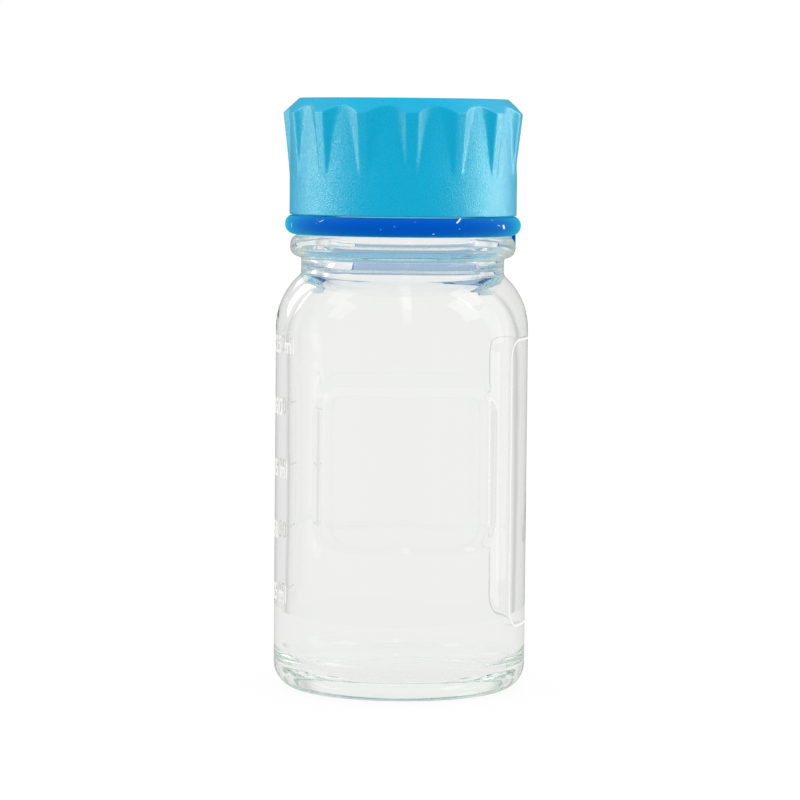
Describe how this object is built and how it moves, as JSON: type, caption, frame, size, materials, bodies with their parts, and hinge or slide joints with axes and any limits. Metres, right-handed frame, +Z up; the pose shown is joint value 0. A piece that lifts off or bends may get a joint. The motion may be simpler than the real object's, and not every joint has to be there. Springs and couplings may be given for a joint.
{
  "type": "reagent bottle",
  "caption": "Small clear laboratory bottle with grip recesses, printed scale, pouring ring, identification ring and fluted screw cap.",
  "frame": {"origin": "centre of the base, on the surface that the bottle stands on", "axes": "+Z up along the bottle's axis, -Y out of the front grip recess, -X out of the printed scale, +X out of the writing field"},
  "size_m": [0.0542, 0.054, 0.1264],
  "materials": {
    "glass": "clear borosilicate",
    "enamel": "fired white enamel",
    "ring_plastic": "satin",
    "silicone": "matt",
    "liner": "matt",
    "cap_plastic": "satin"
  },
  "bodies": {
    "bottle": {"glass_bottle": "glass", "graduation_marks": "enamel", "graduation_numerals": "enamel", "writing_field_border": "enamel", "pouring_ring": "ring_plastic"},
    "id_ring": {"id_ring": "silicone"},
    "liner": {"cap_liner": "liner"},
    "cap": {"screw_cap": "cap_plastic"}
  },
  "joints": [
    {"name": "tag_turn", "type": "hinge", "parent": "bottle", "child": "id_ring", "pos_m": [0, 0, 0.0995], "axis": [0, 0, 1], "continuous": true},
    {"name": "cap_lift", "type": "slide", "parent": "bottle", "child": "liner", "axis": [0, 0, 1], "range_m": [0, 0.0241]},
    {"name": "cap_turn", "type": "hinge", "parent": "liner", "child": "cap", "pos_m": [0, 0, 0.114], "axis": [0, 0, 1], "range_deg": [0, 2160]}
  ],
  "couplings": [
    {"joint": "cap_lift", "follows": "cap_turn", "m_per_rad": 0.00063662}
  ]
}
